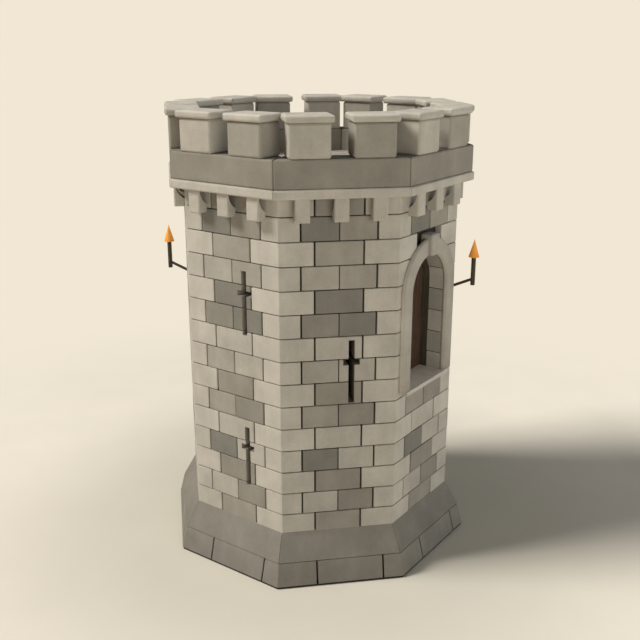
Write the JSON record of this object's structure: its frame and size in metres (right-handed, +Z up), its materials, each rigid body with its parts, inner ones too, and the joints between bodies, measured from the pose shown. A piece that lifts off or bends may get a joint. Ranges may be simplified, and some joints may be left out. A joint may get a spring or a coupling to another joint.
{
  "type": "octagonal stone watchtower",
  "caption": "Octagonal stone tower with a battered plinth, cross-shaped arrow loops, a raised arched doorway, a corbelled parapet with capped merlons and wall torches.",
  "frame": {"origin": "middle of the octagon at the ground", "axes": "+Z up, -Y out of the side with the arched doorway, +X to the right seen from in front of it"},
  "size_m": [5.28, 5.4102, 7.822],
  "materials": {
    "plinth_stone": "matte",
    "wall_stone": "matte",
    "dressed_stone": "matte",
    "parapet_stone": "matte",
    "door_timber": "matte",
    "dark_timber": "matte",
    "bracket_iron": "matte",
    "flame": "matte"
  },
  "bodies": {
    "root": {"footing": "plinth_stone", "plinth_slope": "plinth_stone", "wall_front_apron": "wall_stone", "wall_front_piers": "wall_stone", "wall_front_head": "wall_stone", "wall_front_right": "wall_stone", "wall_right": "wall_stone", "wall_back_right": "wall_stone", "wall_back": "wall_stone", "wall_back_left": "wall_stone", "wall_left": "wall_stone", "wall_front_left": "wall_stone", "door_sill": "dressed_stone", "door_jambs": "dressed_stone", "door_arch": "dressed_stone", "door_keystone": "dressed_stone", "string_course": "dressed_stone", "corbels": "dressed_stone", "merlon_caps": "dressed_stone", "roof_deck": "dressed_stone", "parapet_front": "parapet_stone", "parapet_front_right": "parapet_stone", "parapet_right": "parapet_stone", "parapet_back_right": "parapet_stone", "parapet_back": "parapet_stone", "parapet_back_left": "parapet_stone", "parapet_left": "parapet_stone", "parapet_front_left": "parapet_stone", "merlons": "parapet_stone", "door_leaf": "door_timber", "upper_floor": "door_timber", "door_frame": "dark_timber", "torch_shafts": "dark_timber", "torch_brackets": "bracket_iron", "torch_flames": "flame"}
  },
  "joints": []
}
